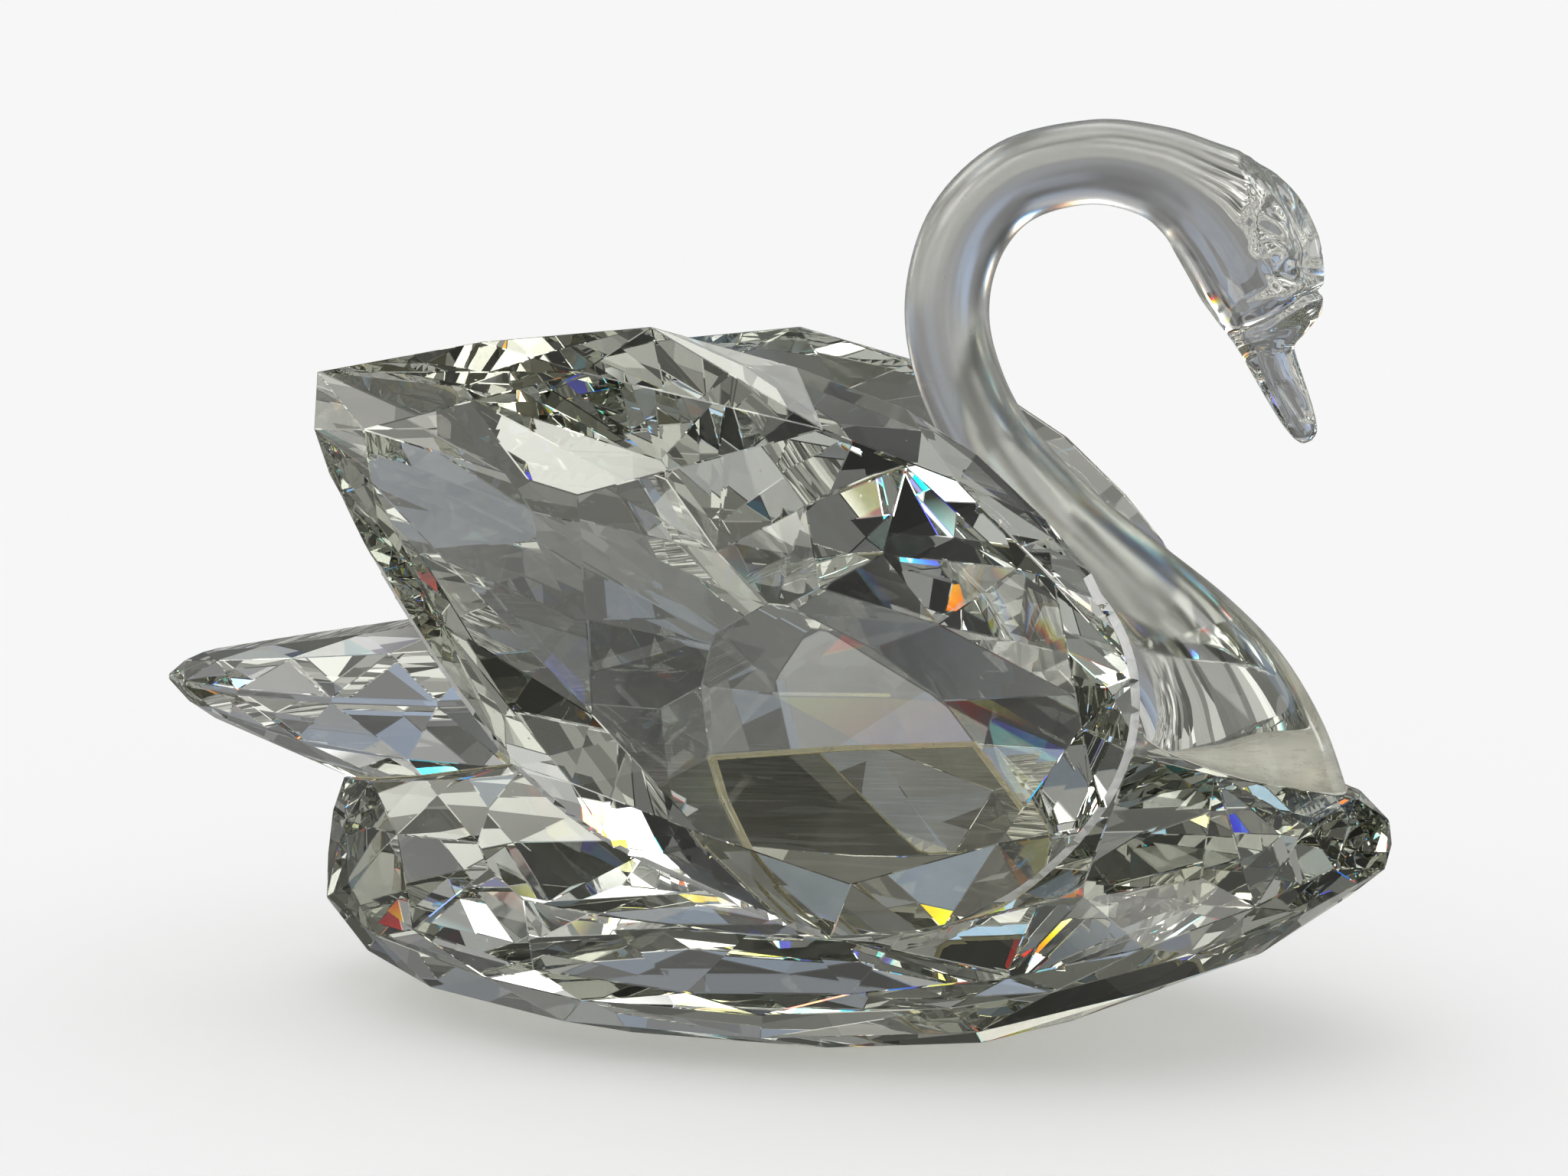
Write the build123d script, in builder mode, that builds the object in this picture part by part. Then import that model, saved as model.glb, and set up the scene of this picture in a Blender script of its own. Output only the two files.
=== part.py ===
from build123d import *
import os
from math import cos, dist, radians, sin, tan

os.makedirs("parts", exist_ok=True)

# A crystal swan: X points forward along the bird, Y to its left, Z up.
# The ground foot rests on Z = 0. Apart from a small stagger of the wings, the bird is
# symmetric about the XZ plane.

# ---- driving dimensions (mm) ----
FILM = 0.10  # thickness of every adhesive film
GIRDLE = 0.2  # half height of a stone's thin edge between its facets
WING_OUT = 5.0  # from a wing's middle plane out to its table
WING_IN = 15.0  # from a wing's middle plane in to its culet
WING_SPACING = 16.7  # half distance between the wings' middle planes at their centres
WING_CENTRE = (2, -WING_SPACING, 29)  # where the right wing's own axes start
WING_STAGGER = 1.6  # how far the left wing sits ahead of the right one
WING_TOE_IN = 0.15  # sideways closing of the wings per mm forward
WING_LEAN_IN = 0.08  # sideways closing of the wings per mm upward
WING_BOND = (8, 17.6, 8.8)  # a point of the left wing's bonding plane
WING_BOND_SLOPE = 52  # degrees, the base facets that carry the wings
TAIL_CENTRE = (-23.3, 0, 22.2)  # where the tail's own axes start
TAIL_BOND = (-24, 0, 16.2)  # a point of the tail's bonding plane
TAIL_BOND_SLOPE = 8.5  # degrees, the base's rear top facet
TAIL_SLOPE = 9  # degrees, the tail's table drops towards its tip
TAIL_TABLE = 5.1  # height of the tail's table above its girdle, at the widest place
NECK_BOND = (36, 0, 19.1)  # a point of the neck's bonding plane
NECK_BOND_SLOPE = 13.7  # degrees, the base's front top facet
BASE_SWELL = 1.045  # how far the kite facets below the base's girdle swell out
BASE_HEART = (7, 0, 10)  # the point that they swell out from

# ---- rings of facet corners on a wing: share of the outline's size, share of the depth ----
CROWN_RING = (0.86, 0.58)  # on the outer side, between the girdle and the table
PAVILION_RING = (0.82, 0.27)  # on the inner side, next to the girdle
CULET_RING = (0.50, 0.61)  # on the inner side, half way in
STAR_RING = (0.24, 0.86)  # on the inner side, round the culet

# ---- the wing's edge: straight along the top and tip, ground round elsewhere ----
STRAIGHT_CORNERS = 8  # how many of the outline's corners, from the tip on, keep their facets
ROUND_SHARE = 0.982  # how far the ground edge is drawn in from the other corners
CLEAR_SHARE = 1.05  # how far the grinding passes outside the straight edges

# ---- bonding planes, all facing up and out of the base ----
right_wing_bond = Plane(
    origin=(WING_BOND[0], -WING_BOND[1], WING_BOND[2]),
    x_dir=(1, 0, 0),
    z_dir=(0, -sin(radians(WING_BOND_SLOPE)), cos(radians(WING_BOND_SLOPE))),
)
left_wing_bond = Plane(
    origin=WING_BOND,
    x_dir=(1, 0, 0),
    z_dir=(0, sin(radians(WING_BOND_SLOPE)), cos(radians(WING_BOND_SLOPE))),
)
tail_bond = Plane(
    origin=TAIL_BOND,
    x_dir=(0, 1, 0),
    z_dir=(-sin(radians(TAIL_BOND_SLOPE)), 0, cos(radians(TAIL_BOND_SLOPE))),
)
neck_bond = Plane(
    origin=NECK_BOND,
    x_dir=(0, 1, 0),
    z_dir=(sin(radians(NECK_BOND_SLOPE)), 0, cos(radians(NECK_BOND_SLOPE))),
)


def both_sides(points):
    """The points and their mirror images across the XZ plane."""
    return points + [(x, -y, z) for x, y, z in points if y]


def raised(outline, height):
    """A flat outline of (along, across) points lifted to one height."""
    return [(along, across, height) for along, across in outline]


def scaled(outline, share):
    """An outline's points drawn in towards its origin, to a share of their distance."""
    return [(share * along, share * across) for along, across in outline]


def edge_ring(outline, shares, depth, first=0, step=2):
    """Midpoints of an outline's edges, drawn in to a share of its size, at a share of a depth."""
    share_of_size, share_of_depth = shares
    count = len(outline)
    centre_along = sum(point[0] for point in outline) / count
    centre_across = sum(point[1] for point in outline) / count
    ring = []
    for index in range(first, count, step):
        start = outline[index]
        end = outline[(index + 1) % count]
        along = centre_along + share_of_size * ((start[0] + end[0]) / 2 - centre_along)
        across = centre_across + share_of_size * ((start[1] + end[1]) / 2 - centre_across)
        ring.append((along, across, share_of_depth * depth))
    return ring


def between_rings(upper, lower, swell, centre):
    """Points amid two rings, pushed out from the centre, so that kite facets form there."""
    points = []
    for start, end in zip(upper, upper[1:]):
        below = min(lower, key=lambda point: dist(point, start) + dist(point, end))
        corners = zip(start, end, below, centre)
        points.append(tuple(hub + swell * ((a + b + c) / 3 - hub) for a, b, c, hub in corners))
    return points


# ---- base: a hull-shaped stone, pointed at the bow and deep at the rear ----
base_foot = [(24, 0, 0), (19, 7, 0), (9, 11, 0), (-5, 11, 0), (-15, 7.4, 0), (-20.5, 0, 0)]
base_bilge = [
    (43.2, 0, 10.3),
    (37.4, 3.4, 6.6),
    (30, 9.0, 4.8),
    (20, 14.2, 2.8),
    (6, 17.0, 2.1),
    (-8, 16.6, 2.1),
    (-19.5, 12.6, 2.6),
    (-27.8, 5.0, 2.8),
]
base_girdle = [
    (45.8, 0, 14.0),
    (42.4, 6.2, 13.4),
    (37.6, 11.2, 11.6),
    (31.0, 15.0, 9.4),
    (22.5, 17.3, 7.4),
    (12.5, 18.6, 6.0),
    (1.5, 19.0, 5.4),
    (-9.5, 18.3, 6.0),
    (-19.5, 15.4, 7.4),
    (-27.0, 9.8, 9.0),
    (-31.6, 3.6, 9.6),
]
base_waist = [
    (34.2, 11.6, 13.4),
    (27.0, 14.7, 12.4),
    (17.0, 16.0, 11.4),
    (7.0, 16.5, 11.0),
    (-4.0, 16.2, 11.2),
    (-14.5, 14.9, 11.6),
]
base_shoulder = [
    (45.6, 0, 15.6),
    (40.5, 6.0, 16.1),
    (-12.0, 15.0, 13.6),
    (-22.3, 11.6, 13.2),
    (-28.7, 6.6, 12.9),
    (-31.9, 2.0, 12.6),
]
base_crown = [
    (43.4, 1.8, 17.4),
    (34.5, 7.4, 19.6),
    (25.8, 8.6, 21.8),
    (10.0, 10.4, 20.8),
    (-6.0, 11.2, 19.2),
    (-18.0, 9.6, 17.6),
    (-27.0, 5.8, 15.9),
    (-31.0, 1.8, 15.2),
]
base_kites = between_rings(base_girdle, base_bilge, BASE_SWELL, BASE_HEART)
base_points = base_foot + base_bilge + base_kites + base_girdle + base_waist + base_shoulder + base_crown

with BuildPart() as base:
    ConvexPolyhedron(both_sides(base_points))
    split(bisect_by=right_wing_bond, keep=Keep.BOTTOM)
    split(bisect_by=left_wing_bond, keep=Keep.BOTTOM)
    split(bisect_by=tail_bond, keep=Keep.BOTTOM)
    split(bisect_by=neck_bond, keep=Keep.BOTTOM)

# ---- wings: leaf-shaped stones, blunt tip up at the rear, round end low at the front ----
wing_outline = [
    (-26.3, 13.2),
    (-26.1, 17.0),
    (-15.0, 19.0),
    (-3.6, 20.0),
    (6.0, 17.4),
    (13.2, 14.7),
    (17.8, 11.8),
    (22.3, 7.6),
    (26.4, 2.9),
    (28.8, -2.0),
    (28.6, -7.3),
    (26.2, -12.2),
    (21.6, -16.8),
    (15.5, -19.8),
    (8.5, -20.2),
    (1.0, -17.6),
    (-6.8, -14.0),
    (-13.0, -9.0),
    (-18.0, -2.6),
    (-22.0, 3.6),
    (-24.8, 9.0),
]
wing_table = [
    (-7.4, 8.9),
    (8.3, 13.2),
    (16.8, 10.0),
    (23.0, 3.6),
    (24.8, -5.4),
    (19.6, -12.8),
    (10.4, -15.6),
    (0.8, -12.6),
    (-6.3, -5.2),
]
wing_culet = [(3.8, 1.2), (2.6, -1.8)]
wing_points = (
    raised(wing_outline, GIRDLE)
    + raised(wing_outline, -GIRDLE)
    + raised(wing_table, WING_OUT)
    + edge_ring(wing_outline, CROWN_RING, WING_OUT)
    + edge_ring(wing_outline, PAVILION_RING, -WING_IN, first=1)
    + edge_ring(wing_outline, CULET_RING, -WING_IN)
    + edge_ring(wing_outline, STAR_RING, -WING_IN, first=2, step=4)
    + raised(wing_culet, -WING_IN)
)
wing_plane = Plane(
    origin=WING_CENTRE,
    x_dir=(1, WING_TOE_IN, 0),
    z_dir=(WING_TOE_IN, -1, WING_LEAN_IN),
)

ground_edge = scaled(wing_outline[STRAIGHT_CORNERS:], ROUND_SHARE)
clear_edge = scaled(wing_outline[:STRAIGHT_CORNERS], CLEAR_SHARE)

with BuildPart(wing_plane) as whole_wing:
    ConvexPolyhedron(wing_points)
    with BuildSketch(wing_plane):
        with BuildLine():
            Spline(*ground_edge)
            Polyline(ground_edge[-1], *clear_edge, ground_edge[0])
        make_face()
    extrude(amount=2 * WING_IN, both=True, mode=Mode.INTERSECT)

with BuildPart() as right_wing:
    add(whole_wing.part)
    split(bisect_by=right_wing_bond.offset(FILM), keep=Keep.TOP)

with BuildPart() as whole_left_wing:
    add(whole_wing.part.mirror(Plane.XZ).moved(Location((WING_STAGGER, 0, 0))))

with BuildPart() as left_wing:
    add(whole_left_wing.part)
    split(bisect_by=left_wing_bond.offset(FILM), keep=Keep.TOP)

# ---- tail: a pear-shaped stone lying between the wings, blunt tip to the rear ----
tail_outline = [
    (-22.5, 1.3),
    (-19.6, 4.2),
    (-13.5, 7.4),
    (-5.0, 9.3),
    (3.0, 8.8),
    (9.5, 5.8),
    (12.5, 2.0),
]
tail_table = [(-19.6, 1.2), (-13.0, 4.2), (-4.0, 5.6), (4.0, 5.0), (9.0, 2.4)]
tail_upper_ring = [(-21.2, 1.1, 1.3), (-16.5, 4.7, 1.9), (-9, 7.5, 2.7), (-1, 8.1, 3.4), (6.5, 6.2, 3.9)]
tail_lower_ring = [(-20.8, 1.4, -1.8), (-16, 4.4, -2.6), (-9, 6.8, -3.4), (0, 7.4, -4.4), (7, 5.2, -5)]
tail_keel = [(-19.0, 0.6, -3.2), (-13, 1.8, -4.9), (-7, 2.8, -6.7), (2, 3.4, -9)]


def on_tail_table(along):
    """Height of the tail's sloping table above its girdle."""
    return TAIL_TABLE + along * tan(radians(TAIL_SLOPE))


with BuildPart(Plane(origin=TAIL_CENTRE)) as whole_tail:
    ConvexPolyhedron(
        both_sides(raised(tail_outline, GIRDLE))
        + both_sides(raised(tail_outline, -GIRDLE))
        + both_sides([(along, across, on_tail_table(along)) for along, across in tail_table])
        + both_sides(tail_upper_ring)
        + both_sides(tail_lower_ring)
        + both_sides(tail_keel)
    )

with BuildPart() as tail:
    add(whole_tail.part)
    split(bisect_by=tail_bond.offset(FILM), keep=Keep.TOP)

# ---- neck and head: drawn glass, an oval section swept up and over, ending in the beak ----
# Each station is (x, z, half depth in the bird's plane, half width across it).
neck_stations = [
    (36.3, 16.0, 6.6, 6.4),
    (35.3, 20.0, 6.1, 6.2),
    (33.5, 24.0, 5.4, 5.7),
    (30.9, 27.4, 4.7, 5.0),
    (26.9, 31.4, 3.9, 4.2),
    (22.6, 35.5, 3.3, 3.5),
    (17.9, 41.0, 2.95, 3.1),
    (15.3, 46.4, 2.95, 3.0),
    (14.75, 51.2, 2.95, 2.95),
    (16.2, 55.8, 2.95, 2.9),
    (19.6, 59.0, 2.9, 2.85),
    (24.7, 60.15, 2.87, 2.85),
    (29.8, 59.15, 3.15, 2.9),
    (33.4, 57.1, 3.9, 3.1),
    (35.7, 54.2, 4.45, 3.3),
    (36.95, 51.1, 3.75, 3.2),
    (37.3, 48.8, 2.35, 2.6),
    (37.3, 46.9, 1.6, 1.9),
    (37.95, 44.9, 1.3, 1.4),
    (38.7, 42.9, 1.1, 1.1),
    (39.3, 41.3, 0.75, 0.7),
]


def station_plane(index):
    """The plane square to the neck's run at one station."""
    before = neck_stations[max(index - 1, 0)]
    after = neck_stations[min(index + 1, len(neck_stations) - 1)]
    here = neck_stations[index]
    run = (after[0] - before[0], 0, after[1] - before[1])
    return Plane(origin=(here[0], 0, here[1]), x_dir=(0, 1, 0), z_dir=run)


with BuildPart() as whole_neck:
    for index, station in enumerate(neck_stations):
        with BuildSketch(station_plane(index)):
            Ellipse(station[3], station[2])
    loft()

with BuildPart() as neck_and_head:
    add(whole_neck.part)
    split(bisect_by=neck_bond.offset(FILM), keep=Keep.TOP)

# ---- adhesive films: each lies on its facet of the base, under the stone that it holds ----
def facet_on(stone, plane):
    """The stone's facet that lies in a plane."""
    level_faces = stone.faces().filter_by(plane)
    return level_faces.sort_by(lambda face: abs(plane.to_local_coords(face.center()).Z))[0]


with BuildPart() as bond_base_right_wing:
    extrude(facet_on(base.part, right_wing_bond), amount=FILM)
    add(whole_wing.part, mode=Mode.INTERSECT)

with BuildPart() as bond_base_left_wing:
    extrude(facet_on(base.part, left_wing_bond), amount=FILM)
    add(whole_left_wing.part, mode=Mode.INTERSECT)

with BuildPart() as bond_base_tail:
    extrude(facet_on(base.part, tail_bond), amount=FILM)
    add(whole_tail.part, mode=Mode.INTERSECT)

with BuildPart() as bond_base_neck:
    extrude(facet_on(base.part, neck_bond), amount=FILM)
    add(whole_neck.part, mode=Mode.INTERSECT)

base.part.label = "base"
right_wing.part.label = "right_wing"
left_wing.part.label = "left_wing"
tail.part.label = "tail"
neck_and_head.part.label = "neck_and_head"
bond_base_right_wing.part.label = "bond_base_right_wing"
bond_base_left_wing.part.label = "bond_base_left_wing"
bond_base_tail.part.label = "bond_base_tail"
bond_base_neck.part.label = "bond_base_neck"

export_step(base.part, "parts/base.step")
export_step(right_wing.part, "parts/right_wing.step")
export_step(left_wing.part, "parts/left_wing.step")
export_step(tail.part, "parts/tail.step")
export_step(neck_and_head.part, "parts/neck_and_head.step")
export_step(bond_base_right_wing.part, "parts/bond_base_right_wing.step")
export_step(bond_base_left_wing.part, "parts/bond_base_left_wing.step")
export_step(bond_base_tail.part, "parts/bond_base_tail.step")
export_step(bond_base_neck.part, "parts/bond_base_neck.step")
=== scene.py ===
from math import cos, exp, pi, radians, sin

import bmesh
import bpy
from mathutils import Matrix, Vector, geometry


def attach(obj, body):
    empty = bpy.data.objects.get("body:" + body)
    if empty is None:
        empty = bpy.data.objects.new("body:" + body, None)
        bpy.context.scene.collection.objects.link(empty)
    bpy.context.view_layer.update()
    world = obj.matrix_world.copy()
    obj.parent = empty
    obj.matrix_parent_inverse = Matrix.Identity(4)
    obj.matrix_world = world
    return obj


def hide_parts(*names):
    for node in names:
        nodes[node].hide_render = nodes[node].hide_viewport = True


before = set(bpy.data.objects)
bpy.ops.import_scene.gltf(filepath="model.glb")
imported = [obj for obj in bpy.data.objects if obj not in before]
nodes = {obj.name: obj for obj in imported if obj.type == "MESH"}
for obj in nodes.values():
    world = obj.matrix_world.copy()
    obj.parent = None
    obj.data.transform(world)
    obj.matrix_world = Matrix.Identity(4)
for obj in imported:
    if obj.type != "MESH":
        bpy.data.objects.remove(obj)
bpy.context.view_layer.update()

MM = 0.001
FILM = 0.10 * MM  # thickness of the adhesive films
BOND_INSET = 0.975  # share of a film's outline that is optically joined
WELD = 0.002 * MM  # corners closer than this are one corner
EDGE_POLISH = 0.055 * MM  # width of the polished line along each cut edge
SHORTEST_POLISHED = 0.5 * MM  # shorter edges stay as they are
LEAST_SHARP = radians(2.0)  # a flatter edge isn't polished
GROUND_TOP = 34.0 * MM  # a wing's edge is polished above this height, and ground below it
RIM_TILT = 0.6 * MM  # how far a wing's ground rim is drawn in on its outer side

CRYSTAL_IOR = 1.545
ADHESIVE_IOR = 1.5
ABSORPTION = (-8.5, -8.3, -9.3)  # per metre of glass, for red, green and blue
LONGEST_RUN = 0.5  # metres, longer than any run inside the figurine

scene = bpy.context.scene


# ---------------------------------------------------------------- node helpers
def add_node(tree, kind, inputs=None, **settings):
    """A new node with its settings, and its inputs as plain values or links."""
    made = tree.nodes.new(kind)
    for name, value in settings.items():
        setattr(made, name, value)
    for key, value in (inputs or {}).items():
        if isinstance(value, bpy.types.NodeSocket):
            tree.links.new(value, made.inputs[key])
        else:
            made.inputs[key].default_value = value
    return made


def maths(tree, operation, *values, clamp=False):
    inputs = dict(enumerate(values))
    return add_node(tree, "ShaderNodeMath", inputs, operation=operation, use_clamp=clamp).outputs[0]


def vectors(tree, operation, *values):
    return add_node(tree, "ShaderNodeVectorMath", dict(enumerate(values)), operation=operation).outputs[0]


def scaled(tree, vector, share):
    return add_node(tree, "ShaderNodeVectorMath", {0: vector, "Scale": share}, operation="SCALE").outputs[0]


def rise(tree, value, start, gain):
    """0 up to start, then up to 1 at the rate of gain; a negative gain runs the other way."""
    return maths(tree, "MULTIPLY", maths(tree, "SUBTRACT", value, start), gain, clamp=True)


def mixed(tree, share, first, second):
    return add_node(tree, "ShaderNodeMix", {0: share, 6: first, 7: second}, data_type="RGBA").outputs[2]


def object_place(tree):
    return add_node(tree, "ShaderNodeTexCoord").outputs["Object"]


def noise(tree, coordinates, scale, detail=2.0, roughness=0.5):
    inputs = {"Vector": coordinates, "Scale": scale, "Detail": detail, "Roughness": roughness}
    return add_node(tree, "ShaderNodeTexNoise", inputs).outputs["Fac"]


def cell_tones(tree, coordinates, scale, randomness):
    """One even random number over each cell of a Voronoi pattern."""
    inputs = {"Vector": coordinates, "Scale": scale, "Randomness": randomness}
    cells = add_node(tree, "ShaderNodeTexVoronoi", inputs)
    return add_node(tree, "ShaderNodeSeparateColor", {0: cells.outputs["Color"]}).outputs[0]


def ramp(tree, value, stops):
    """A colour ramp through (place, grey or colour) stops."""
    made = add_node(tree, "ShaderNodeValToRGB", {"Fac": value})
    elements = made.color_ramp.elements
    while len(elements) < len(stops):
        elements.new(1.0)
    for element, (place, colour) in zip(elements, stops):
        element.position = place
        element.color = (*colour, 1.0) if isinstance(colour, tuple) else (colour, colour, colour, 1.0)
    return made.outputs["Color"]


def new_material(name):
    made = bpy.data.materials.new(name)
    made.use_nodes = True
    made.node_tree.nodes.clear()
    return made, made.node_tree


def finish_material(tree, shader):
    add_node(tree, "ShaderNodeOutputMaterial", {"Surface": shader})


# ---------------------------------------------------------------- materials
# Pattern scales are in cells per metre.
TINT_CLOUDS = 45.0
HAIRLINES = (90.0, 2600.0, 2600.0)  # far finer across the scratches than along them
HAIRLINE_TURN = (0.2, 0.35, 0.1)  # radians, the way most scratches run
HAIRLINE_LEAST = 0.76  # noise above this is a scratch
HAIRLINE_GAIN = 12.0
SCRATCHED = 130.0  # patches with scratches
SCRATCHED_LEAST = 0.62
SCRATCHED_GAIN = 6.0
DUST = 420.0
DUST_SIZE = 0.045  # of a dust cell
POLISHED = 0.002  # roughness of clean crystal
MARRED = 0.16  # roughness that a scratch or a speck adds
RIPPLES = 210.0
FACE_CLEAR = (0.0345, -250.0)  # X in metres where the haze ends before the face, and its gain per metre
FOOT_CLEAR = (0.022, 120.0)  # Z in metres where the haze starts above the foot, and its gain per metre
FROST = 2500.0
FROST_DEPTH = 0.01 * MM
JOIN_CLOUDS = 300.0
ADHESIVE_GRAIN = 900.0
ADHESIVE_DEPTH = 0.02 * MM


def crystal(name, tint_light, tint_dark, ripple, scratch_height, haze=0.0):
    """Clear lead crystal: faint tint clouds, hairline scratches, specks of dust."""
    made, tree = new_material(name)
    place = object_place(tree)
    tint = ramp(tree, noise(tree, place, TINT_CLOUDS), [(0.3, tint_dark), (0.7, tint_light)])
    stretched = add_node(
        tree, "ShaderNodeMapping", {"Vector": place, "Rotation": HAIRLINE_TURN, "Scale": HAIRLINES}
    ).outputs[0]
    hairlines = rise(tree, noise(tree, stretched, 1.0, 1.0), HAIRLINE_LEAST, HAIRLINE_GAIN)
    patches = rise(tree, noise(tree, place, SCRATCHED), SCRATCHED_LEAST, SCRATCHED_GAIN)
    scratches = maths(tree, "MULTIPLY", hairlines, patches)
    specks = add_node(tree, "ShaderNodeTexVoronoi", {"Vector": place, "Scale": DUST})
    dust = maths(tree, "LESS_THAN", specks.outputs["Distance"], DUST_SIZE)
    rough = maths(tree, "MULTIPLY_ADD", maths(tree, "MAXIMUM", scratches, dust), MARRED, POLISHED)
    if haze:
        # Fire-drawn glass is a little hazy along its run, and clear where it was pinched and pressed.
        along = add_node(tree, "ShaderNodeSeparateXYZ", {0: place}).outputs
        run = maths(tree, "MULTIPLY", rise(tree, along[0], *FACE_CLEAR), rise(tree, along[2], *FOOT_CLEAR))
        rough = maths(tree, "ADD", rough, maths(tree, "MULTIPLY", run, haze))
    waves = maths(tree, "MULTIPLY", noise(tree, place, RIPPLES, 1.0), ripple)
    height = maths(tree, "MULTIPLY_ADD", scratches, -scratch_height, waves)
    bump = add_node(tree, "ShaderNodeBump", {"Height": height, "Strength": 1.0, "Distance": MM})
    # The glass darkens along each straight run inside it, as absorption does.
    inside = add_node(tree, "ShaderNodeNewGeometry").outputs["Backfacing"]
    run = add_node(tree, "ShaderNodeLightPath").outputs["Ray Length"]
    run = maths(tree, "MULTIPLY", run, maths(tree, "LESS_THAN", run, LONGEST_RUN))
    falloff = scaled(tree, ABSORPTION, maths(tree, "MULTIPLY", run, inside))
    parts = add_node(tree, "ShaderNodeSeparateXYZ", {0: falloff}).outputs
    kept = [maths(tree, "EXPONENT", part) for part in parts]
    kept = add_node(tree, "ShaderNodeCombineXYZ", dict(enumerate(kept))).outputs[0]
    glass = add_node(
        tree,
        "ShaderNodeBsdfGlass",
        {
            "Color": vectors(tree, "MULTIPLY", tint, kept),
            "Roughness": rough,
            "IOR": CRYSTAL_IOR,
            "Normal": bump.outputs[0],
        },
        distribution="GGX",
    )
    finish_material(tree, glass.outputs[0])
    return made


def ground(name):
    """The finely ground band round a cut stone's girdle: pale and frosted."""
    made, tree = new_material(name)
    grain = noise(tree, object_place(tree), FROST, 3.0, 0.6)
    bump = add_node(tree, "ShaderNodeBump", {"Height": grain, "Strength": 0.5, "Distance": FROST_DEPTH})
    body = add_node(
        tree,
        "ShaderNodeBsdfPrincipled",
        {
            "Base Color": ramp(tree, grain, [(0.3, (0.88, 0.88, 0.86)), (0.7, (0.97, 0.97, 0.95))]),
            "Roughness": maths(tree, "MULTIPLY_ADD", grain, 0.2, 0.3),
            "IOR": CRYSTAL_IOR,
            "Transmission Weight": 0.1,
            "Normal": bump.outputs[0],
        },
    )
    finish_material(tree, body.outputs[0])
    return made


def joined_face(name, tint):
    """A face that is optically joined by adhesive: light goes straight on."""
    made, tree = new_material(name)
    dim = tuple(0.96 * part for part in tint)
    clouds = noise(tree, object_place(tree), JOIN_CLOUDS, 3.0)
    clear = add_node(
        tree, "ShaderNodeBsdfTransparent", {"Color": ramp(tree, clouds, [(0.35, dim), (0.65, tint)])}
    )
    finish_material(tree, clear.outputs[0])
    return made


def adhesive(name, colour, milky):
    """Set adhesive: a clear yellowish rim, or a pale milky layer."""
    made, tree = new_material(name)
    dim = tuple(0.8 * part for part in colour)
    grain = noise(tree, object_place(tree), ADHESIVE_GRAIN, 4.0, 0.65)
    bump = add_node(tree, "ShaderNodeBump", {"Height": grain, "Strength": 0.3, "Distance": ADHESIVE_DEPTH})
    body = add_node(
        tree,
        "ShaderNodeBsdfPrincipled",
        {
            "Base Color": ramp(tree, grain, [(0.3, dim), (0.7, colour)]),
            "Roughness": maths(tree, "MULTIPLY_ADD", grain, 0.3, 0.15),
            "IOR": ADHESIVE_IOR,
            "Transmission Weight": 1.0 - milky,
            "Normal": bump.outputs[0],
        },
    )
    finish_material(tree, body.outputs[0])
    return made


cut_crystal = crystal("cut_crystal", (0.995, 0.995, 0.99), (0.975, 0.98, 0.97), 0.0, 0.004)
drawn_crystal = crystal("drawn_crystal", (0.995, 0.995, 0.992), (0.98, 0.985, 0.978), 0.01, 0.002, 0.22)
ground_edge = ground("ground_edge")
clear_join = joined_face("clear_join", (0.985, 0.98, 0.95))
rim_adhesive = adhesive("rim_adhesive", (0.86, 0.80, 0.56), 0.45)
pale_adhesive = adhesive("pale_adhesive", (0.82, 0.81, 0.74), 0.95)

# Places of the materials on a stone.
CUT, JOINED, GROUND = range(3)


# ---------------------------------------------------------------- mesh helpers
def new_piece(name, bm, materials, replaces):
    mesh = bpy.data.meshes.new(name)
    bm.normal_update()
    bm.to_mesh(mesh)
    bm.free()
    piece = bpy.data.objects.new(name, mesh)
    scene.collection.objects.link(piece)
    for material in materials:
        mesh.materials.append(material)
    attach(piece, "root")
    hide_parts(replaces)


def plane_of(film_node):
    """The middle point and upward normal of a flat film."""
    mesh = nodes[film_node].data
    biggest = max(mesh.polygons, key=lambda face: face.area)
    normal = biggest.normal.copy()
    if normal.z < 0:
        normal.negate()
    points = [vertex.co for vertex in mesh.vertices]
    lowest = min(point.dot(normal) for point in points)
    highest = max(point.dot(normal) for point in points)
    middle = sum(points, Vector()) / len(points)
    middle += normal * ((lowest + highest) / 2 - middle.dot(normal))
    return middle, normal


def film_outline(film_node, share, lift):
    """The film's outline, drawn in to a share of its size, at a height over its middle."""
    closest = 0.05 * MM  # corners of the outline closer than this count once
    middle, normal = plane_of(film_node)
    across = normal.orthogonal().normalized()
    along = normal.cross(across)
    flat = [
        Vector(((vertex.co - middle).dot(across), (vertex.co - middle).dot(along)))
        for vertex in nodes[film_node].data.vertices
    ]
    outline = []
    for index in geometry.convex_hull_2d(flat):
        if not outline or (flat[index] - outline[-1]).length > closest:
            outline.append(flat[index])
    centre = sum(outline, Vector((0, 0))) / len(outline)
    drawn = [centre + (point - centre) * share for point in outline]
    return [middle + across * point.x + along * point.y + normal * lift for point in drawn]


def mark_rim(bm, outward):
    """Gives the wing's edge its ground finish, below the height where it is polished."""
    for face in bm.faces:
        upright = abs(face.normal.dot(outward)) < 0.02
        if face.material_index == CUT and upright and face.calc_center_median().z < GROUND_TOP:
            face.material_index = GROUND
            face.smooth = True


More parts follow.
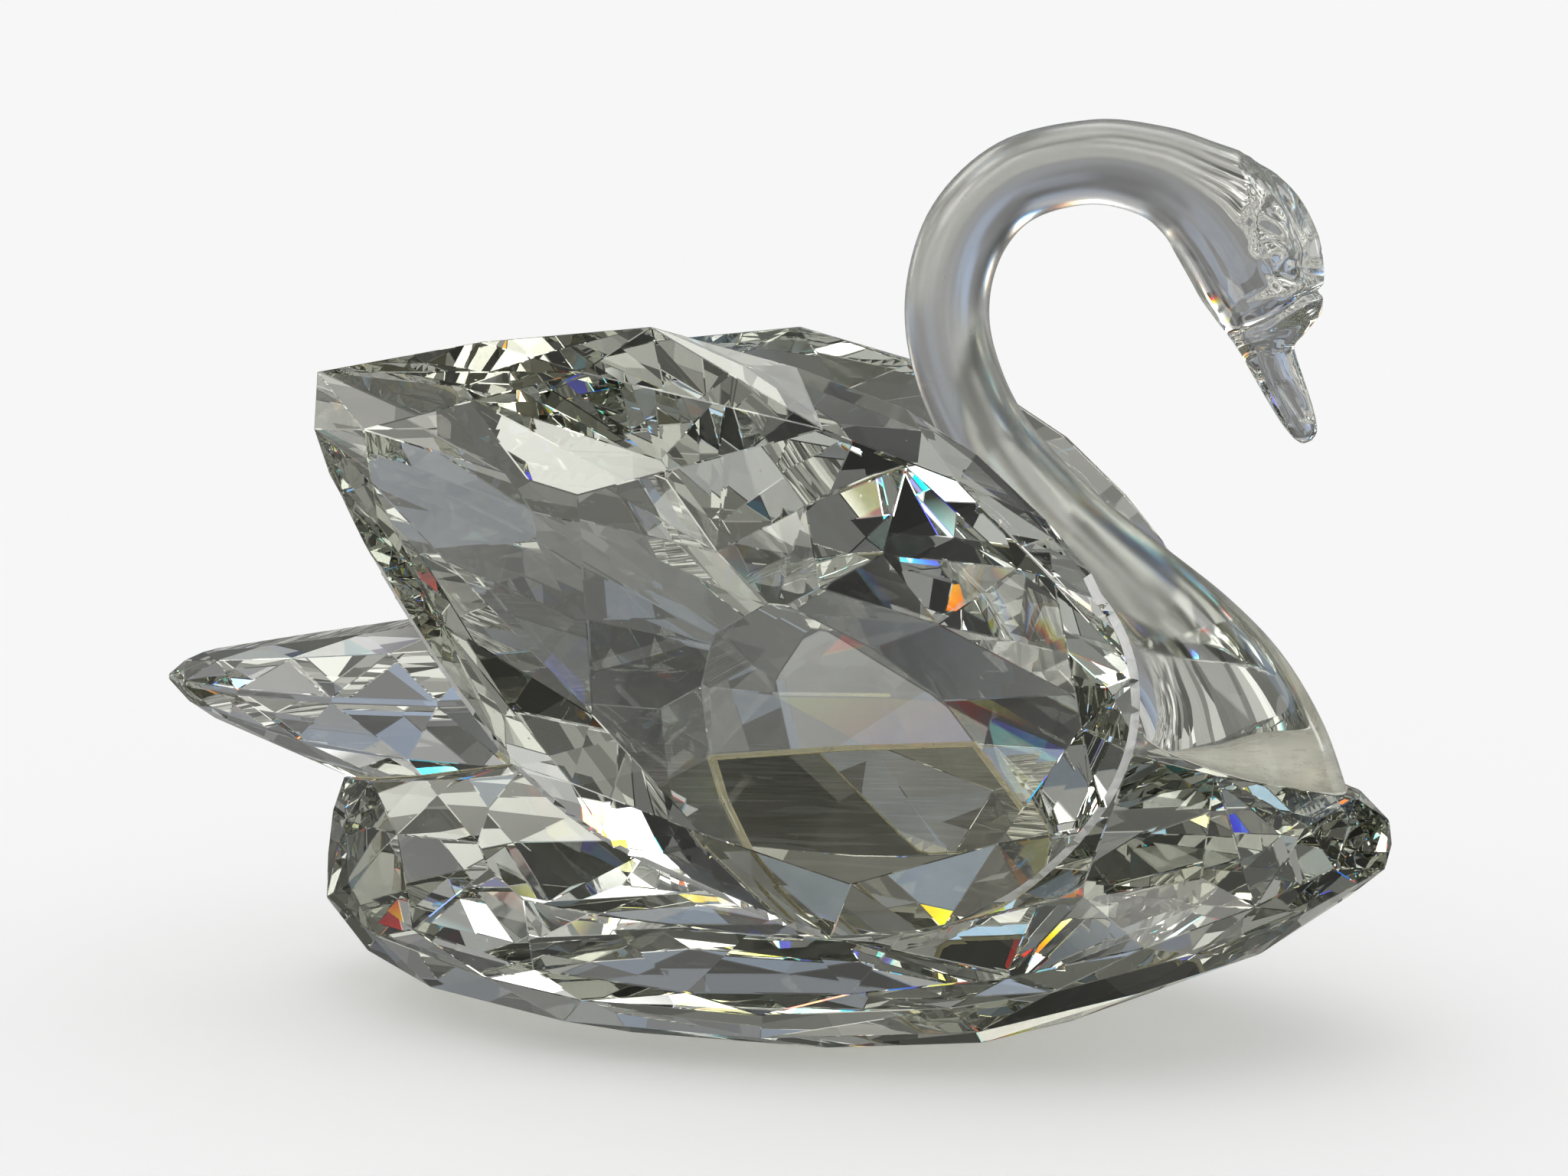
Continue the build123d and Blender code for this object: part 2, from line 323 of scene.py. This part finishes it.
def tilt_rim(bm, outward):
    """Draws the outer side of the ground rim in along the facets, so that the rim faces out a little."""
    centre = sum((vertex.co for vertex in bm.verts), Vector()) / len(bm.verts)
    moves = []
    for vertex in bm.verts:
        facets = [
            face
            for face in vertex.link_faces
            if face.material_index == CUT and face.normal.dot(outward) > 0.1
        ]
        if not facets or all(face.material_index != GROUND for face in vertex.link_faces):
            continue
        facet = max(facets, key=lambda face: face.calc_area())
        inward = centre - vertex.co
        inward -= outward * inward.dot(outward)
        inward.normalize()
        climb = -facet.normal.dot(inward) / facet.normal.dot(outward)
        moves.append((vertex, (inward + outward * climb) * RIM_TILT))
    for vertex, move in moves:
        vertex.co += move
    bm.normal_update()


def join_patch(bm, film_node, side):
    """Sets the optically joined patch into the facet that is bonded; side is 1 above the film, -1 below."""
    middle, normal = plane_of(film_node)
    level = middle.dot(normal) + side * FILM / 2
    seat = min(
        (face for face in bm.faces if abs(face.normal.dot(normal)) > 0.999),
        key=lambda face: abs(face.calc_center_median().dot(normal) - level),
    )
    seat_normal = seat.normal.copy()
    outer_edges = list(seat.edges)
    bmesh.ops.delete(bm, geom=[seat], context="FACES_ONLY")
    patch = bm.faces.new(
        [bm.verts.new(point) for point in film_outline(film_node, BOND_INSET, side * FILM / 2)]
    )
    patch.normal_update()
    if patch.normal.dot(seat_normal) < 0:
        patch.normal_flip()
    patch.material_index = JOINED
    bmesh.ops.triangle_fill(bm, edges=outer_edges + list(patch.edges), use_beauty=True, normal=seat_normal)


def drop_folded(bm):
    """Deletes faces that lie back to back on the same corners."""
    groups = {}
    for face in bm.faces:
        groups.setdefault(frozenset(face.verts), []).append(face)
    folded = [face for faces in groups.values() if len(faces) > 1 for face in faces]
    bmesh.ops.delete(bm, geom=folded, context="FACES")


def polish_edges(bm):
    """A narrow flat along each sharp edge that isn't ground."""
    sharp = [
        edge
        for edge in bm.edges
        if len(edge.link_faces) == 2
        and edge.calc_face_angle(0) > LEAST_SHARP
        and edge.calc_length() > SHORTEST_POLISHED
        and all(face.material_index != GROUND for face in edge.link_faces)
    ]
    bmesh.ops.bevel(
        bm,
        geom=sharp,
        offset=EDGE_POLISH,
        offset_type="OFFSET",
        segments=1,
        profile=0.5,
        affect="EDGES",
        clamp_overlap=False,
        material=-1,
    )
    bmesh.ops.remove_doubles(bm, verts=bm.verts, dist=WELD)
    bmesh.ops.dissolve_degenerate(bm, edges=bm.edges, dist=WELD)
    bmesh.ops.triangulate(bm, faces=bm.faces)
    drop_folded(bm)


def stone(name, cad_node, films, side, outward=None):
    """A cut stone: its CAD facets, joined patches, polished edges, and a wing's ground rim."""
    bm = bmesh.new()
    bm.from_mesh(nodes[cad_node].data)
    bmesh.ops.remove_doubles(bm, verts=bm.verts, dist=WELD)
    bmesh.ops.dissolve_limit(
        bm, angle_limit=radians(0.2), verts=bm.verts, edges=bm.edges, use_dissolve_boundaries=False
    )
    for film_node in films:
        join_patch(bm, film_node, side)
    bmesh.ops.recalc_face_normals(bm, faces=bm.faces)
    bm.normal_update()
    for face in bm.faces:
        face.smooth = False
    if outward:
        mark_rim(bm, outward)
        tilt_rim(bm, outward)
    polish_edges(bm)
    new_piece(name, bm, [cut_crystal, clear_join, ground_edge], cad_node)


WING_BONDS = ["bond_base_right_wing", "bond_base_left_wing"]
stone("base_stone", "base", WING_BONDS + ["bond_base_tail", "bond_base_neck"], -1)
stone("right_wing_stone", "right_wing", WING_BONDS[:1], 1, Vector((0.15, -1.0, 0.08)).normalized())
stone("left_wing_stone", "left_wing", WING_BONDS[1:], 1, Vector((0.15, 1.0, 0.08)).normalized())
stone("tail_stone", "tail", ["bond_base_tail"], 1)

# Rings of a film's cross section: share of its outline, share of its thickness from its middle.
FILM_OUTSIDE = ((1.0, -0.4), (1.012, 0.0), (1.0, 0.4))
FILM_INSIDE = ((0.965, 0.4), (0.965, -0.4))


def film_piece(name, film_node, material, rim_only):
    """Set adhesive: a rim left between the stones, or a whole layer."""
    bm = bmesh.new()
    sections = FILM_OUTSIDE + FILM_INSIDE if rim_only else FILM_OUTSIDE
    rings = [
        [bm.verts.new(point) for point in film_outline(film_node, share, lift * FILM)]
        for share, lift in sections
    ]
    count = len(rings[0])
    pairs = list(zip(rings, rings[1:]))
    if rim_only:
        pairs.append((rings[-1], rings[0]))
    for lower, upper in pairs:
        for index in range(count):
            after = (index + 1) % count
            bm.faces.new((lower[index], lower[after], upper[after], upper[index]))
    if not rim_only:
        bm.faces.new(rings[0])
        bm.faces.new(rings[-1])
    bmesh.ops.recalc_face_normals(bm, faces=bm.faces)
    new_piece(name, bm, [material], film_node)


film_piece("right_wing_adhesive", "bond_base_right_wing", rim_adhesive, True)
film_piece("left_wing_adhesive", "bond_base_left_wing", rim_adhesive, True)
film_piece("tail_adhesive", "bond_base_tail", rim_adhesive, True)
film_piece("neck_adhesive", "bond_base_neck", pale_adhesive, False)

# ---------------------------------------------------------------- neck and head
# Each section is (x, z) of its outer end, (x, z) of its inner end and its half width across, in mm.
NECK_SECTIONS = [
    (29.90, 14.40, 42.82, 17.28, 6.4),
    (29.54, 17.98, 41.06, 22.02, 6.2),
    (28.86, 21.24, 38.14, 26.76, 5.7),
    (27.39, 24.27, 34.41, 30.53, 5.0),
    (24.18, 28.61, 29.62, 34.19, 4.2),
    (20.19, 33.24, 25.01, 37.76, 3.5),
    (15.45, 39.36, 20.35, 42.64, 3.1),
    (12.48, 45.53, 18.12, 47.27, 3.0),
    (11.81, 51.48, 17.69, 50.92, 2.95),
    (13.69, 57.36, 18.71, 54.24, 2.9),
    (18.28, 61.58, 20.92, 56.42, 2.85),
    (24.66, 63.00, 24.74, 57.28, 2.85),
    (29.60, 62.45, 28.00, 56.55, 2.9),
    (33.00, 61.35, 29.70, 55.20, 3.0),
    (36.20, 60.00, 30.60, 53.75, 3.15),
    (38.60, 57.70, 31.50, 52.20, 3.3),
    (39.95, 55.20, 32.30, 50.80, 3.35),
    (40.40, 53.00, 33.00, 49.85, 3.2),
    (40.42, 51.40, 33.65, 49.00, 2.95),
    (40.35, 50.10, 34.40, 48.05, 2.4),
    (39.90, 49.30, 34.85, 47.40, 2.05),
    (39.15, 48.40, 35.15, 46.95, 1.85),
    (38.60, 47.70, 35.45, 46.40, 1.7),
    (38.75, 46.90, 36.00, 45.45, 1.55),
    (39.20, 45.60, 36.65, 44.35, 1.35),
    (39.69, 44.20, 37.35, 43.20, 1.2),
    (40.05, 43.00, 38.00, 42.25, 1.05),
    (40.20, 41.95, 38.70, 41.45, 0.8),
    (39.85, 41.30, 39.25, 41.10, 0.35),
]
STEPS = 8  # rings between two sections
AROUND = 112  # corners of a ring
KEEL_SHARE = 0.20  # how much the breast narrows towards its front
KEEL_TOP = 42.0  # mm, the height where that starts
KEEL_RUN = 12.0  # mm further down, where it is full

# Relief of the face: a line or point in the bird's plane (mm), its half width, its height.
EYE = ([(37.0, 53.7)], 0.72, 0.45)
LORE = ([(38.65, 52.8)], 0.5, 0.28)
CHEEK_EDGE = (
    [(35.2, 60.7), (35.95, 58.6), (36.1, 57.2), (35.8, 55.6), (36.1, 54.2), (36.9, 52.5), (37.9, 51.3)],
    0.30,
    -0.12,
)
BROW_GROOVE = ([(35.9, 60.3), (37.5, 58.5), (38.6, 56.5), (39.2, 54.6), (39.5, 52.7)], 0.26, -0.22)
BROW = ([(36.7, 56.3), (38.0, 55.4), (38.9, 54.0)], 0.45, 0.24)
BEAK_CREASE = ([(35.6, 48.75), (37.0, 49.3), (38.3, 50.2), (39.3, 50.95), (40.5, 51.4)], 0.26, -0.40)
BEAK_FOLD = ([(35.6, 50.0), (37.4, 50.9)], 0.6, 0.22)
NOSTRIL = ([(37.7, 45.1), (38.5, 43.9), (39.2, 42.8)], 0.16, -0.14)
BEAK_LINE = ([(36.5, 47.2), (37.2, 45.0), (38.5, 42.5)], 0.14, -0.12)
FACE_RELIEF = [EYE, LORE, CHEEK_EDGE, BROW_GROOVE, BROW, BEAK_CREASE, BEAK_FOLD, NOSTRIL, BEAK_LINE]
FACE_FROM = 33.0  # mm, the X where the relief starts

# The edge of the face, from top to bottom: ahead of it the cheek is pressed in.
FACE_EDGE = [
    (34.6, 61.6),
    (35.2, 60.7),
    (35.95, 58.6),
    (36.1, 57.2),
    (35.8, 55.6),
    (36.1, 54.2),
    (36.9, 52.5),
    (37.6, 51.4),
]
FACE_STEP = 0.5  # mm over which the surface steps down at the edge
FACE_RECESS = 0.34  # mm that it steps down
FACE_FADE = 1.0  # mm over which the step fades at the ends of the edge
FACE_SIDES = 1.5  # how soon the step is full, away from the bird's plane


def between(first, second, third, fourth, t):
    """A Catmull-Rom curve through second and third."""
    return tuple(
        (2 * b + (c - a) * t + (2 * a - 5 * b + 4 * c - d) * t * t + (3 * b - a - 3 * c + d) * t * t * t) / 2
        for a, b, c, d in zip(first, second, third, fourth)
    )


def neck_rings():
    rings = []
    last = len(NECK_SECTIONS) - 1
    for index in range(last):
        four = [NECK_SECTIONS[min(max(index + step, 0), last)] for step in (-1, 0, 1, 2)]
        for step in range(STEPS):
            rings.append(between(*four, step / STEPS))
    rings.append(NECK_SECTIONS[last])
    return rings


def distance_to_line(point, line):
    if len(line) == 1:
        return (point - Vector(line[0])).length
    nearest = []
    for start, end in zip(line, line[1:]):
        start, end = Vector(start), Vector(end)
        share = (point - start).dot(end - start) / (end - start).length_squared
        nearest.append((point - start.lerp(end, min(max(share, 0.0), 1.0))).length)
    return min(nearest)


def face_height(x, z, sideways):
    """The face's relief at a place in the bird's plane, in mm."""
    if x < FACE_FROM:
        return 0.0
    point = Vector((x, z))
    relief = sum(
        height * exp(-((distance_to_line(point, line) / width) ** 2)) for line, width, height in FACE_RELIEF
    )
    for (upper_x, upper_z), (lower_x, lower_z) in zip(FACE_EDGE, FACE_EDGE[1:]):
        if lower_z <= z <= upper_z:
            share = (upper_z - z) / (upper_z - lower_z)
            ahead = x - (upper_x + share * (lower_x - upper_x))
            inside = min(max(ahead / FACE_STEP + 0.5, 0.0), 1.0)
            ends = min((z - FACE_EDGE[-1][1]) / FACE_FADE, (FACE_EDGE[0][1] - z) / FACE_FADE, 1.0)
            eased = inside * inside * (3 - 2 * inside)
            relief -= FACE_RECESS * eased * ends * min(FACE_SIDES * sideways, 1.0)
    return relief


def neck_tube():
    """The drawn glass from below the foot to the beak's tip, before its relief."""
    bm = bmesh.new()
    made = []
    for outer_x, outer_z, inner_x, inner_z, width in neck_rings():
        outer = Vector((outer_x, 0, outer_z))
        inner = Vector((inner_x, 0, inner_z))
        middle = (outer + inner) / 2
        half = (outer - inner) / 2
        keel = KEEL_SHARE * min(max((KEEL_TOP - middle.z) / KEEL_RUN, 0.0), 1.0)
        ring = []
        for step in range(AROUND):
            turn = 2 * pi * step / AROUND
            narrow = 1 - keel * max(-cos(turn), 0.0) ** 2
            point = middle + half * cos(turn) + Vector((0, width * narrow * sin(turn), 0))
            ring.append(bm.verts.new(point * MM))
        made.append(ring)
    for lower, upper in zip(made, made[1:]):
        for step in range(AROUND):
            after = (step + 1) % AROUND
            bm.faces.new((lower[step], lower[after], upper[after], upper[step]))
    bm.faces.new(made[-1])
    bmesh.ops.recalc_face_normals(bm, faces=bm.faces)
    bm.normal_update()
    return bm


def neck_piece():
    bm = neck_tube()
    raised = []
    for vertex in bm.verts:
        height = face_height(vertex.co.x / MM, vertex.co.z / MM, abs(vertex.normal.y))
        raised.append((vertex, vertex.normal * height * MM))
    for vertex, offset in raised:
        vertex.co += offset
    middle, normal = plane_of("bond_base_neck")
    cut = bmesh.ops.bisect_plane(
        bm,
        geom=bm.verts[:] + bm.edges[:] + bm.faces[:],
        plane_co=middle + normal * (FILM / 2),
        plane_no=normal,
        clear_inner=True,
    )
    rim = [item for item in cut["geom_cut"] if isinstance(item, bmesh.types.BMEdge)]
    foot = bmesh.ops.contextual_create(bm, geom=rim)["faces"]
    for face in foot:
        face.material_index = JOINED
    bmesh.ops.recalc_face_normals(bm, faces=bm.faces)
    for face in bm.faces:
        face.smooth = face not in foot
    for edge in rim:
        edge.smooth = False
    new_piece("neck_and_head_glass", bm, [drawn_crystal, clear_join], "neck_and_head")


neck_piece()

# ---------------------------------------------------------------- floor
PLAIN = (0.93, 0.93, 0.93, 1.0)  # the floor and the background, as the camera sees them
FLOOR_CELLS = 55.0  # per metre, the cells of painted shadow and painted focused light that the glass shows

bm = bmesh.new()
bmesh.ops.create_circle(bm, cap_ends=True, segments=96, radius=2.5)
floor_mesh = bpy.data.meshes.new("floor")
bm.to_mesh(floor_mesh)
bm.free()
floor = bpy.data.objects.new("floor", floor_mesh)
floor.location.z = -0.05 * MM
scene.collection.objects.link(floor)
floor_material, tree = new_material("pale_floor")
# Rays other than the camera's see the floor in dark and bright cells, painted shadow and painted focused
# light under the glass; the camera sees it plain and pale.
is_camera = add_node(tree, "ShaderNodeLightPath").outputs["Is Camera Ray"]
pale = add_node(tree, "ShaderNodeBsdfDiffuse", {"Color": PLAIN})
painted_light_patches = ramp(
    tree,
    cell_tones(tree, object_place(tree), FLOOR_CELLS, 0.9),
    [
        (0.0, (0.05, 0.05, 0.047)),
        (0.3, (0.15, 0.15, 0.143)),
        (0.7, (0.29, 0.29, 0.277)),
        (1.0, (0.72, 0.72, 0.69)),
    ],
)
floor_with_painted_light = add_node(tree, "ShaderNodeBsdfDiffuse", {"Color": painted_light_patches})
floor_look = add_node(tree, "ShaderNodeMixShader", {0: is_camera, 1: floor_with_painted_light.outputs[0], 2: pale.outputs[0]})
finish_material(tree, floor_look.outputs[0])
floor_mesh.materials.append(floor_material)

# ---------------------------------------------------------------- studio surroundings
# The glass shows a patchy room, plainer behind the bird, with soft light panels.
ROOM_CELLS = 2.4  # per unit of direction
BEHIND_CELLS = 6.0
BEHIND_FROM = (0.62, 5.0)  # where the plainer part starts, as a share of straight behind, and its gain
DOME = (1.0, 1.0, 1.0, 1.0)  # light on matt surfaces
DOME_THROUGH_GLASS = (1.8, 1.8, 1.75, 1.0)
PANEL_SOFT = 0.04  # width of a panel's soft edge, for a panel one unit away

world = bpy.data.worlds.new("studio")
scene.world = world
world.use_nodes = True
world.cycles.sampling_method = "NONE"
tree = world.node_tree
tree.nodes.clear()
direction = add_node(tree, "ShaderNodeTexCoord").outputs["Generated"]
path = add_node(tree, "ShaderNodeLightPath").outputs
split = maths(tree, "MINIMUM", path["Transmission Depth"], 1.0)
axes = add_node(tree, "ShaderNodeSeparateXYZ", {0: direction}).outputs
up = maths(tree, "MULTIPLY_ADD", axes[2], 0.5, 0.5)
behind = ramp(tree, up, [(0.0, 0.26), (0.5, 0.29), (0.6, 0.27), (0.68, 0.22), (0.85, 0.25), (1.0, 0.12)])
shapes = ramp(
    tree,
    cell_tones(tree, direction, BEHIND_CELLS, 1.0),
    [(0.0, 0.42), (0.3, 0.78), (0.7, 1.08), (1.0, (1.5, 1.8, 2.35))],
)
patchy = ramp(
    tree,
    cell_tones(tree, direction, ROOM_CELLS, 0.9),
    [(0.0, 0.02), (0.3, 0.08), (0.55, 0.19), (0.8, 0.42), (1.0, 1.0)],
)
light = mixed(tree, rise(tree, axes[1], *BEHIND_FROM), patchy, vectors(tree, "MULTIPLY", behind, shapes))


def panel(total, turn, lift, wide, tall, strength, colour, fringe):
    """Adds a rectangular light panel seen in a direction; its ends part into colours behind glass."""
    spin = add_node(
        tree,
        "ShaderNodeVectorRotate",
        {"Vector": direction, "Angle": radians(turn)},
        rotation_type="Z_AXIS",
    )
    turned = add_node(
        tree,
        "ShaderNodeVectorRotate",
        {"Vector": spin.outputs[0], "Rotation": (radians(-lift), 0.0, 0.0)},
        rotation_type="EULER_XYZ",
    )
    parts = add_node(tree, "ShaderNodeSeparateXYZ", {0: turned.outputs[0]}).outputs
    depth = maths(tree, "MAXIMUM", parts[1], 0.001)
    across = maths(tree, "DIVIDE", parts[0], depth)
    height = maths(tree, "DIVIDE", parts[2], depth)
    shift = maths(tree, "MULTIPLY", split, fringe)
    red = maths(tree, "ADD", across, shift)
    blue = maths(tree, "SUBTRACT", across, shift)
    three = add_node(tree, "ShaderNodeCombineXYZ", {0: red, 1: across, 2: blue}).outputs[0]
    three = vectors(tree, "ABSOLUTE", three)
    three = vectors(tree, "MULTIPLY_ADD", three, (-1 / PANEL_SOFT,) * 3, (wide / PANEL_SOFT,) * 3)
    three = vectors(tree, "MAXIMUM", vectors(tree, "MINIMUM", three, (1.0,) * 3), (0.0,) * 3)
    height = maths(tree, "ABSOLUTE", height)
    tall_mask = maths(tree, "MULTIPLY_ADD", height, -1 / PANEL_SOFT, tall / PANEL_SOFT, clamp=True)
    facing = maths(tree, "GREATER_THAN", parts[1], 0.0)
    mask = maths(tree, "MULTIPLY", maths(tree, "MULTIPLY", tall_mask, facing), strength)
    return vectors(tree, "ADD", total, vectors(tree, "MULTIPLY", scaled(tree, three, mask), colour))


# Each panel: turn and lift in degrees, half width, half height, strength, colour, colour fringe.
for one in (
    (-60, 42, 0.22, 0.16, 3.2, (1.0, 0.99, 0.96), 0.03),
    (70, 35, 0.16, 0.22, 1.6, (0.45, 0.68, 1.0), 0.03),
    (150, 35, 0.30, 0.20, 3.5, (1.0, 0.98, 0.94), 0.03),
    (-130, 28, 0.20, 0.16, 3.0, (1.0, 0.98, 0.94), 0.03),
    (10, 72, 0.40, 0.22, 2.5, (1.0, 1.0, 1.0), 0.04),
    (55, 14, 0.07, 0.09, 4.0, (1.0, 1.0, 1.0), 0.02),
    (-62, 12, 0.08, 0.10, 3.5, (1.0, 0.97, 0.90), 0.02),
    (105, 55, 0.16, 0.12, 4.0, (1.0, 1.0, 1.0), 0.03),
    (-100, 50, 0.14, 0.16, 2.2, (0.50, 0.72, 1.0), 0.03),
    (180, 60, 0.20, 0.12, 4.0, (1.0, 1.0, 1.0), 0.03),
):
    light = panel(light, *one)

# Matt surfaces are lit by a plain dome, and the camera sees a plain background.
diffused = maths(tree, "GREATER_THAN", path["Diffuse Depth"], 0.5)
through_glass = maths(tree, "GREATER_THAN", path["Transmission Depth"], 0.5)
dome = mixed(tree, through_glass, DOME, DOME_THROUGH_GLASS)
seen = mixed(tree, diffused, light, dome)
seen = mixed(tree, path["Is Camera Ray"], seen, PLAIN)
background = add_node(tree, "ShaderNodeBackground", {"Color": seen, "Strength": 1.0})
add_node(tree, "ShaderNodeOutputWorld", {"Surface": background.outputs[0]})

# ---------------------------------------------------------------- camera
AZIMUTH = radians(15.5)
ELEVATION = radians(6.0)
DISTANCE = 180.0 * MM
AIM = Vector((2.907, 0.0, 30.274)) * MM
back = Vector((sin(AZIMUTH) * cos(ELEVATION), -cos(AZIMUTH) * cos(ELEVATION), sin(ELEVATION)))
right = Vector((cos(AZIMUTH), sin(AZIMUTH), 0.0))
upward = back.cross(right)
camera_data = bpy.data.cameras.new("camera")
camera_data.sensor_width = 36.0
camera_data.lens = 57.5
camera_data.clip_start = 0.001
camera = bpy.data.objects.new("camera", camera_data)
scene.collection.objects.link(camera)
rotation = Matrix((right, upward, back)).transposed().to_4x4()
camera.matrix_world = Matrix.Translation(AIM + back * DISTANCE) @ rotation
scene.camera = camera

scene.cycles.max_bounces = 24
scene.cycles.glossy_bounces = 16
scene.cycles.transmission_bounces = 20
scene.cycles.transparent_max_bounces = 16
scene.view_settings.view_transform = "Standard"
